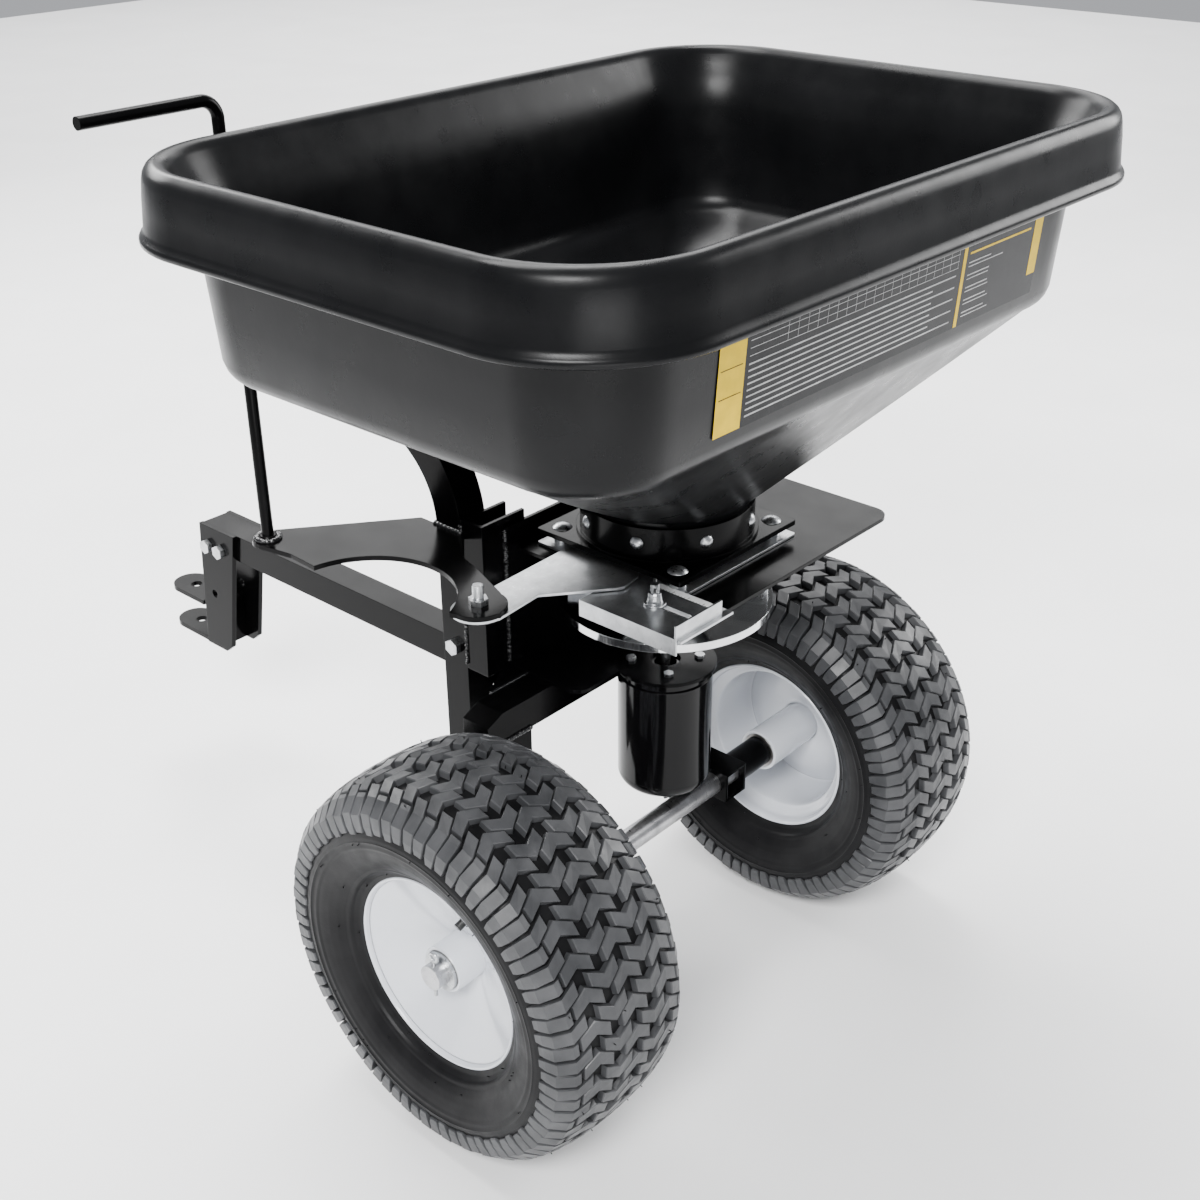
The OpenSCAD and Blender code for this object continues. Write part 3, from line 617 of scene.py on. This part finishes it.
def funnel(low, high):
    """Rings from the neck up to the foot of the walls, a little bowed."""
    steps, bow = 8, 1.5
    out = []
    for k in range(1, steps):
        f = k / steps
        sag = -bow * math.sin(math.pi * f)
        out.append([(v[0] + (w[0] - v[0]) * f, v[1] + (w[1] - v[1]) * f,
                     v[2] + (w[2] - v[2]) * f + sag) for v, w in zip(low, high)])
    return out


def hopper():
    b, l, t = FUNNEL, LIP, TOP
    foot = (b + THICK, FUNNEL_IN + 5 + THICK)
    neck_o, body_o = neck_ring(NECK_TOP, NECK_OUT), rim_ring(b, FUNNEL_IN)
    neck_i, body_i = neck_ring(NECK_TOP + 4, NECK_IN), rim_ring(*foot)
    rings = [neck_ring(NECK_LOW, NECK_IN), neck_ring(NECK_LOW, NECK_OUT),
             neck_ring(NECK_TOP - 10, NECK_OUT), neck_o]
    rings += funnel(neck_o, body_o)
    # (height, inset) up the outside, over the rim and down the inside
    rings += [rim_ring(z, inset) for z, inset in (
        (b, FUNNEL_IN), (b + 2.4, 62.6), (b + 6, 58.6), (b + 11, 55.2), (b + 19, WALL_IN),
        (b + 60, 49.6), (l - 30, 47.0), (l - 2, 45.4), (l + 9, 44.0), (l + 23, 39.4), (t - 23, 33),
        (t - 18, 28), (t - 16, 22), (t - 18, 16), (t - 25, 13.4), (l + 30, 11.6), (l + 9, 10.4),
        (l + 2, 7.6), (l + 0.2, 4.4), (l + 0.2, 2.0), (l + 1.6, 0.4), (l + 5, 0.3), (l + 7.4, 1.6),
        (l + 9.4, 3.6), (l + 13, 4.6), (l + 30, 6.0), (t - 27, 6.6), (t - 14, 8.2), (t - 8, 9.6),
        (t - 3.8, 12.2), (t - 1.0, 15.8), (t - 0.1, 19.6), (t - 0.8, 23.6), (t - 3.4, 27.2),
        (t - 9, 30.4), (t - 18, 34.0), (t - 29, 39.0), (t - 41, 44.4), (l + 3, 49.2), (l - 30, 52.0),
        (b + 51, 55.2), (b + 31, 57.6), (b + 22, 61), (b + 16, 66.6), (b + 12.4, 72.5), foot)]
    rings += funnel(neck_i, body_i)[::-1]
    rings += [neck_i, neck_ring(NECK_TOP - 4, NECK_IN)]
    verts = [at(*p) for ring in rings for p in ring]
    faces = [tuple(reversed(q)) for q in ring_faces(len(rings), len(rings[0]), True)]
    obj = mesh("hopper_shell", verts, faces, HOPPER, "frame", 62)
    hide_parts("hopper")


hopper()


# ------------------------------------------------------------------ printed panel on the rear wall
PANEL_LEFT, PANEL_RIGHT, PANEL_LOW, PANEL_HIGH = -190, 296.0, 755.2, 833.0
LABEL_LEFT = 155                  # the second field of the panel starts here
INK = 1.05                        # print stands this far off the wall, the film itself 0.9


def wall_point(u, z, proud):
    """A place on the rear wall: u runs to the right along it and round the corner."""
    inset = WALL_IN - 7.2 * (z - FUNNEL - 19) / (LIP - FUNNEL - 21) - proud
    r = corner_radius(inset)
    flat = HOP_MID_X + HOP_X / 2 - inset - r
    yc = HOP_MID_Y - (HOP_Y / 2 - inset - r)
    if u <= flat:
        return at(u, yc - r, z)
    t = min(math.pi / 2, (u - flat) / r)
    return at(flat + r * math.sin(t), yc - r * math.cos(t), z)


def patch(pile, u0, u1, z0, z1, proud=INK):
    """A thin rectangle laid on the rear wall."""
    cols = max(1, int((u1 - u0) / 6))
    rows = max(1, int((z1 - z0) / 12))
    verts = [wall_point(u0 + (u1 - u0) * i / cols, z0 + (z1 - z0) * k / rows, proud)
             for k in range(rows + 1) for i in range(cols + 1)]
    faces = []
    for k in range(rows):
        for i in range(cols):
            here, above = k * (cols + 1) + i, (k + 1) * (cols + 1) + i
            faces.append((here, here + 1, above + 1, above))
    pile.add(verts, faces)


def panel():
    """Black film with yellow bars, a blank grid and plain rules where the photo has print."""
    base, yellow, grey = Pile(), Pile(), Pile()
    patch(base, PANEL_LEFT, PANEL_RIGHT, PANEL_LOW, PANEL_HIGH, 0.9)
    foot = PANEL_LOW + 0.4
    for u0, u1, z0 in ((PANEL_LEFT, -157, foot), (LABEL_LEFT, 160.5, foot), (281, PANEL_RIGHT, 775)):
        patch(yellow, u0, u1, z0, PANEL_HIGH - 0.4)
    patch(yellow, 166, 274, 820.5, 822.5)
    # blank table
    for k in range(4):
        z = 831 - k * 6.2
        patch(grey, -152, 148, z - 0.3, z + 0.3)
    for k in range(20):
        u = -104 + k * 13.2
        patch(grey, u - 0.25, u + 0.25, 812.4, 831)
    # plain rules
    for k in range(9):
        z = 806 - k * 5.3
        patch(grey, -152, 146 - (k * 37) % 74, z - 0.9, z + 0.5)
    for k in range(5):
        z = 813 - k * 11.5
        patch(grey, 166, 204, z - 0.7, z + 0.5)
        patch(grey, 166, 226 - (k * 23) % 26, z - 4.2, z - 3.2)
    # two dark rules across the left bar
    for z in (809, 786):
        patch(base, -187, -160, z - 0.4, z + 0.4, 1.2)
    black = mesh("panel_black", base.verts, base.faces, FILM_BLACK, "frame", 40)
    mesh("panel_yellow", yellow.verts, yellow.faces, FILM_YELLOW, "frame", 40)
    mesh("panel_grey", grey.verts, grey.faces, FILM_GREY, "frame", 40)
    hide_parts("chart_panel")


panel()


# ------------------------------------------------------------------ weld beads and other small things
def bead(name, points, radius_mm):
    """A rippled weld bead along a line of points given about the axle."""
    radius = radius_mm * MM
    ripple = 2.6 * MM
    line = [at(*p) for p in points]
    pts, rad = [], []
    run = 0.0
    for a, b in zip(line, line[1:]):
        length = (b - a).length
        n = max(2, int(length / 0.0008))
        for i in range(n):
            run += length / n
            wobble = Vector([random.uniform(-1, 1) for _ in range(3)]) * radius * 0.10
            pts.append(a + (b - a) * (i / n) + wobble)
            rad.append(radius * (0.86 + 0.22 * abs(math.sin(run / ripple * math.pi / 2))))
    pts.append(line[-1])
    rad.append(radius * 0.5)
    rad[0] = radius * 0.5
    pile = Pile()
    pile.tube(pts, rad, 10)
    # Beads take the lighter weld paint, a painted highlight.
    mesh(name, pile.verts, pile.faces, WELD_PAINTED_HIGHLIGHT, "frame", 75)


def circle(x, y, z, r):
    steps = 28
    turns = [math.radians(360 * i / steps) for i in range(steps + 1)]
    return [(x + r * math.cos(t), y + r * math.sin(t), z) for t in turns]


bead("weld_rod_foot", circle(-232, 307, 526.8, 11.0), 3.0)
for label, start, end, size in (
        ("mast_plate_top", (-100.2, 168, 526.6), (-100.2, 207, 526.6), 3.0),
        ("mast_plate_low", (-100.4, 168, 520.6), (-100.4, 207, 520.6), 2.6),
        ("channel_guard", (-70.3, 138, 378), (-70.3, 138, 530), 2.4),
        ("channel_mast", (-100.2, 169.6, 376), (-100.2, 169.6, 536), 2.2),
        ("cross_left", (-100, 79.4, 336.8), (-135, 79.4, 336.8), 2.4),
        ("tongue_cross", (-65, 115.6, 371.2), (-30, 115.6, 371.2), 2.4),
        ("mast_tongue", (-65, 170, 371.6), (-65, 205, 371.6), 2.4),
        ("arm_mast", (-100, 170, 217.8), (-100, 205, 217.8), 2.4),
        ("leg_left", (-100, 79.6, 217.8), (-135, 79.6, 217.8), 2.4),
        ("leg_right", (100, 79.6, 217.8), (135, 79.6, 217.8), 2.4),
        ("gusset_left", (-66, 115.6, 371.4), (-122, 115.6, 371.4), 1.8),
        ("gusset_right", (-29, 115.6, 371.4), (27, 115.6, 371.4), 1.8),
        ("tab_low", (-64, 671.8, 203.4), (-31, 671.8, 203.4), 2.0),
        ("tab_high", (-64, 671.8, 255.4), (-31, 671.8, 255.4), 2.0),
        ("saddle_left", (-104, 262, 661), (-104, 286, 634), 2.0)):
    bead("weld_" + label, [start, end], size)


def ticks():
    """A pale scale strip with plain rules, to the right of the slotted plate."""
    strip, marks = Pile(), Pile()
    x0, x1, y0, y1, z = -47.6, -36.6, -114.0, -34.0, 515.15

    def flat(pile, a, b, c, d, h):
        pile.add([at(a, c, h), at(b, c, h), at(b, d, h), at(a, d, h)], [(0, 1, 2, 3)])

    flat(strip, x0, x1, y0, y1, z)
    for k in range(21):
        y = y0 + 3 + k * 3.6
        length = 6.4 if k % 5 == 0 else 3.8
        flat(marks, x0 + 0.6, x0 + length, y - 0.28, y + 0.28, z + 0.06)
    mesh("scale_strip", strip.verts, strip.faces, LABEL, "frame")
    mesh("scale_marks", marks.verts, marks.faces, FILM_BLACK, "frame")


ticks()


def threads(name, x, y, z0, z1, r, body, lead):
    """A plain screw thread on an upright stud; lead is its climb per turn in mm."""
    pile = Pile()
    n = int((z1 - z0) / lead * 20)
    pts = [at(x + r * math.cos(i * math.pi / 10), y + r * math.sin(i * math.pi / 10),
              z0 + (z1 - z0) * i / n) for i in range(n + 1)]
    pile.tube(pts, 0.00045, 6)
    mesh(name, pile.verts, pile.faces, ZINC, body, 60)


threads("stud_thread", -192, 51, 532.4, 544.4, 5.0, "frame", 1.5)
threads("stop_thread", -74, -60, 530.4, 537.0, 4.0, "flow_stop", 1.25)


# ------------------------------------------------------------------ camera, light and floor
YAW, PITCH, ROLL = 0.838, 0.490, -0.009    # the camera's turn, in radians
EYE = at(-1072.9, -890.97, 1213.8)
SENSOR, LENS = 36.0, 47.92
forward = Vector((math.sin(YAW) * math.cos(PITCH), math.cos(YAW) * math.cos(PITCH), -math.sin(PITCH)))
level = Vector((math.cos(YAW), -math.sin(YAW), 0))
upright = level.cross(forward)
right = level * math.cos(ROLL) + upright * math.sin(ROLL)
up = upright * math.cos(ROLL) - level * math.sin(ROLL)
cam = bpy.data.cameras.new("camera")
cam.sensor_width = SENSOR
cam.lens = LENS
cam.clip_start = 0.01
cam_obj = bpy.data.objects.new("camera", cam)
bpy.context.scene.collection.objects.link(cam_obj)
cam_obj.matrix_world = Matrix(((right.x, up.x, -forward.x, EYE.x),
                               (right.y, up.y, -forward.y, EYE.y),
                               (right.z, up.z, -forward.z, EYE.z), (0, 0, 0, 1)))
bpy.context.scene.camera = cam_obj


def area(name, place, target, size_x, size_y, power):
    """A rectangular area light at place, turned to target."""
    light = bpy.data.lights.new(name, "AREA")
    light.shape = "RECTANGLE"
    light.size = size_x
    light.size_y = size_y
    light.energy = power
    obj = bpy.data.objects.new(name, light)
    bpy.context.scene.collection.objects.link(obj)
    obj.location = place
    obj.rotation_euler = (Vector(target) - Vector(place)).to_track_quat("-Z", "Y").to_euler()


area("key", (-2.6, -1.6, 3.0), (0, 0, 0.5), 1.5, 1.0, 240)
area("top", (0.2, 0.7, 3.2), (0, 0, 0.6), 2.2, 1.1, 170)
area("right", (2.9, -1.4, 1.7), (0, -0.1, 0.5), 1.4, 1.4, 90)
area("back", (0.2, 3.2, 2.2), (0, 0, 0.6), 2.2, 1.0, 110)
area("far", (4.2, 3.8, 3.6), (4.21, 3.8, 0), 6.0, 6.0, 560)
area("low", (-1.7, -2.4, 0.55), (-0.1, -0.2, 0.3), 1.4, 0.7, 22)

world = bpy.data.worlds.new("world")
world.use_nodes = True
sky = world.node_tree.nodes["Background"]
sky.inputs["Color"].default_value = (0.93, 0.95, 1.0, 1)
sky.inputs["Strength"].default_value = 0.5
bpy.context.scene.world = world

half = 7.0
floor_data = bpy.data.meshes.new("floor")
floor_data.from_pydata([(-half, -half, 0), (half, -half, 0), (half, half, 0), (-half, half, 0)],
                       [], [(0, 1, 2, 3)])
floor = bpy.data.objects.new("floor", floor_data)
bpy.context.scene.collection.objects.link(floor)
pale = Shader("floor_look")
pale.wire("Base Color", two_tone(pale, (0.88, 0.88, 0.88), (0.92, 0.92, 0.92), 3))
pale.set(Roughness=0.75)
floor_data.materials.append(pale.mat)
